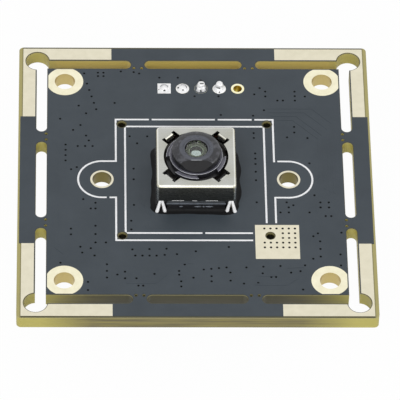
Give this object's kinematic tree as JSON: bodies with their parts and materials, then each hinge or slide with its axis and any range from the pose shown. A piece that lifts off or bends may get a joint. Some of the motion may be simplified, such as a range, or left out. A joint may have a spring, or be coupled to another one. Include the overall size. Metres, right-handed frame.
{
  "type": "camera module",
  "caption": "Square breakaway circuit board carrying a small autofocus lens unit with its image sensor, support electronics and a header connector.",
  "frame": {"origin": "centre of the square mounting hole pattern, on the back face of the board laminate", "axes": "+Z out of the lens along its optical axis, +X to the right seen from the lens side, +Y towards the header row"},
  "size_m": [0.038, 0.038, 0.0128],
  "materials": {
    "laminate": "bare glass-epoxy laminate at the board edges",
    "solder_mask": "smooth satin black-grey solder mask",
    "gold_plate": "flat pale gold plating on copper",
    "legend_ink": "matt white printed ink",
    "silicon": "polished silicon die",
    "black_plastic": "moulded black plastic",
    "filter_glass": "clear coated filter glass",
    "adhesive": "cured glossy black adhesive",
    "spring_metal": "thin etched copper alloy sheet",
    "solder": "bright solder",
    "carrier_plastic": "moulded dark plastic",
    "copper_wire": "lacquered fine copper wire",
    "magnet": "plated magnet",
    "cover_metal": "thin drawn nickel-plated steel",
    "barrel_plastic": "matt black moulded lens barrel",
    "lens_glass": "clear lens element with a dark coating",
    "white_plastic": "natural white moulded plastic",
    "tinned_metal": "tin-plated terminals",
    "moulded_epoxy": "matt black package moulding",
    "ceramic": "fired ceramic package",
    "crystal_metal": "seam-welded metal lid",
    "ferrite": "pressed dark grey ferrite",
    "capacitor_ceramic": "fired tan ceramic"
  },
  "bodies": {
    "board": {"circuit_board": "laminate", "solder_mask_top": "solder_mask", "solder_mask_bottom": "solder_mask", "corner_pads": "gold_plate", "mounting_eyelets": "gold_plate", "holder_eyelets": "gold_plate", "header_eyelets": "gold_plate", "ground_pad": "gold_plate", "silkscreen_top": "legend_ink", "image_sensor": "silicon", "sensor_holder": "black_plastic", "ir_filter": "filter_glass", "holder_glue": "adhesive", "actuator_base": "black_plastic", "terminal_pins": "spring_metal", "terminal_solder": "solder", "lower_spring": "spring_metal", "magnets": "magnet", "upper_spring": "spring_metal", "spring_spacer": "black_plastic", "actuator_cover": "cover_metal", "connector_housing": "white_plastic", "connector_pins": "tinned_metal", "connector_solder": "solder", "video_processor": "moulded_epoxy", "processor_terminals": "tinned_metal", "flash_memory": "moulded_epoxy", "flash_leads": "tinned_metal", "crystal_base": "ceramic", "crystal_lid": "crystal_metal", "regulators": "moulded_epoxy", "regulator_leads": "tinned_metal", "inductor_cores": "ferrite", "inductor_terminals": "tinned_metal", "capacitor_bodies": "capacitor_ceramic", "capacitor_ends": "tinned_metal", "resistor_bodies": "moulded_epoxy", "resistor_ends": "tinned_metal", "focus_driver": "moulded_epoxy"},
    "lens_carriage": {"carrier": "carrier_plastic", "coil": "copper_wire", "lens_barrel": "barrel_plastic", "lens_1": "lens_glass", "lens_2": "lens_glass", "lens_3": "lens_glass", "lens_4": "lens_glass", "lens_5": "lens_glass", "lens_spacers": "barrel_plastic", "lens_retainer": "barrel_plastic"}
  },
  "joints": [
    {"name": "focus", "type": "slide", "parent": "board", "child": "lens_carriage", "axis": [0, 0, 1], "range_m": [0, 0.0003], "stiffness_N_per_m": 60, "springref_m": -0.0001, "deforming": ["lower_spring", "upper_spring"]}
  ]
}
